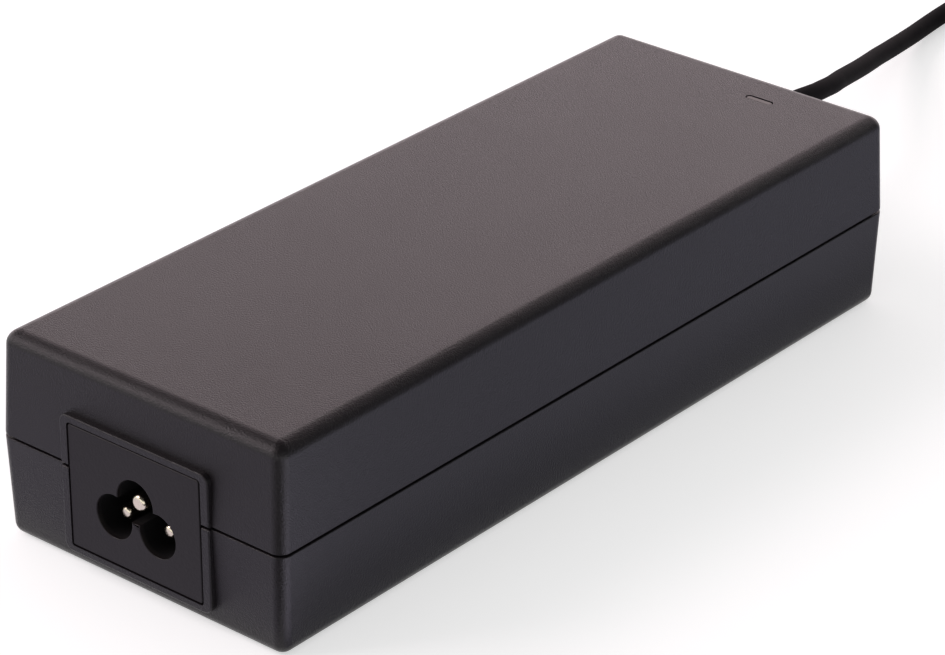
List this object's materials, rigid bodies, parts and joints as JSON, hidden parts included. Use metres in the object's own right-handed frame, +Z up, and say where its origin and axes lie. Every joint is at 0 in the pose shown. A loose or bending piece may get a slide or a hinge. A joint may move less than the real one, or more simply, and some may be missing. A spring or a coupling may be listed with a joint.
{
  "type": "laptop power adapter",
  "caption": "Flat black mains power adapter with a pinned inlet in one end and a thin lead with a barrel plug at the other.",
  "frame": {"origin": "middle of the case's underside, halfway between the inlet's raised frame and the lead end", "axes": "+Y along the case from the inlet end to the lead end, +X across its width, +Z up"},
  "size_m": [0.0704, 0.3477, 0.039],
  "materials": {
    "case_plastic": "spark-textured black ABS/polycarbonate moulding",
    "inlet_plastic": "smooth satin moulded nylon",
    "pin_nickel": "nickel-plated brass",
    "lens_plastic": "clear smoke-grey polycarbonate",
    "cord_rubber": "satin black soft PVC",
    "tie_nylon": "satin black nylon",
    "contact_metal": "nickel-plated brass",
    "board_laminate": "bare paper-phenolic laminate",
    "sheet_aluminium": "mill-finish folded sheet",
    "clear_film": "milky polyester film",
    "ferrite": "pressed and sintered ferrite",
    "copper_wire": "enamelled copper wire",
    "winding_tape": "yellow polyester tape over copper wire",
    "white_nylon": "natural nylon",
    "black_epoxy": "moulded epoxy",
    "blue_coating": "dipped epoxy coating",
    "yellow_casing": "moulded capacitor case",
    "fuse_ceramic": "glazed ceramic tube with plated caps",
    "can_sleeve": "heat-shrunk sleeve over an aluminium can",
    "led_green": "tinted clear epoxy",
    "brown_wire": "PVC-insulated wire",
    "blue_wire": "PVC-insulated wire",
    "green_wire": "PVC-insulated wire",
    "red_wire": "PVC-insulated wire",
    "black_wire": "PVC-insulated wire"
  },
  "bodies": {
    "root": {"top_case": "case_plastic", "bottom_case": "case_plastic", "inlet_body": "inlet_plastic", "inlet_pin_line": "pin_nickel", "inlet_pin_neutral": "pin_nickel", "inlet_pin_earth": "pin_nickel", "status_lens": "lens_plastic", "strain_relief": "cord_rubber", "cord_lead": "cord_rubber", "cord_coil": "cord_rubber", "cord_tail": "cord_rubber", "plug_grip": "cord_rubber", "cable_tie": "tie_nylon", "plug_sleeve": "contact_metal", "plug_contact": "contact_metal", "circuit_board": "board_laminate", "lower_heat_spreader": "sheet_aluminium", "upper_heat_spreader": "sheet_aluminium", "primary_heat_sink": "sheet_aluminium", "secondary_heat_sink": "sheet_aluminium", "insulating_sheet": "clear_film", "line_choke_core": "ferrite", "boost_choke_core_left": "ferrite", "boost_choke_core_right": "ferrite", "transformer_core_left": "ferrite", "transformer_core_right": "ferrite", "output_choke": "ferrite", "line_choke_winding_left": "copper_wire", "line_choke_winding_right": "copper_wire", "boost_choke_winding": "winding_tape", "transformer_winding": "winding_tape", "transformer_bobbin": "white_nylon", "bridge_rectifier": "black_epoxy", "primary_transistor": "black_epoxy", "boost_diode": "black_epoxy", "output_rectifier": "black_epoxy", "optocoupler": "black_epoxy", "controller_chip": "black_epoxy", "plug_insulator": "black_epoxy", "varistor": "blue_coating", "earth_capacitor_line": "blue_coating", "earth_capacitor_neutral": "blue_coating", "filter_capacitor": "yellow_casing", "fuse": "fuse_ceramic", "bulk_capacitor": "can_sleeve", "output_capacitor_1": "can_sleeve", "output_capacitor_2": "can_sleeve", "output_capacitor_3": "can_sleeve", "status_led": "led_green", "mains_wire_line": "brown_wire", "mains_wire_neutral": "blue_wire", "mains_wire_earth": "green_wire", "output_wire_positive": "red_wire", "output_wire_negative": "black_wire"}
  },
  "joints": []
}
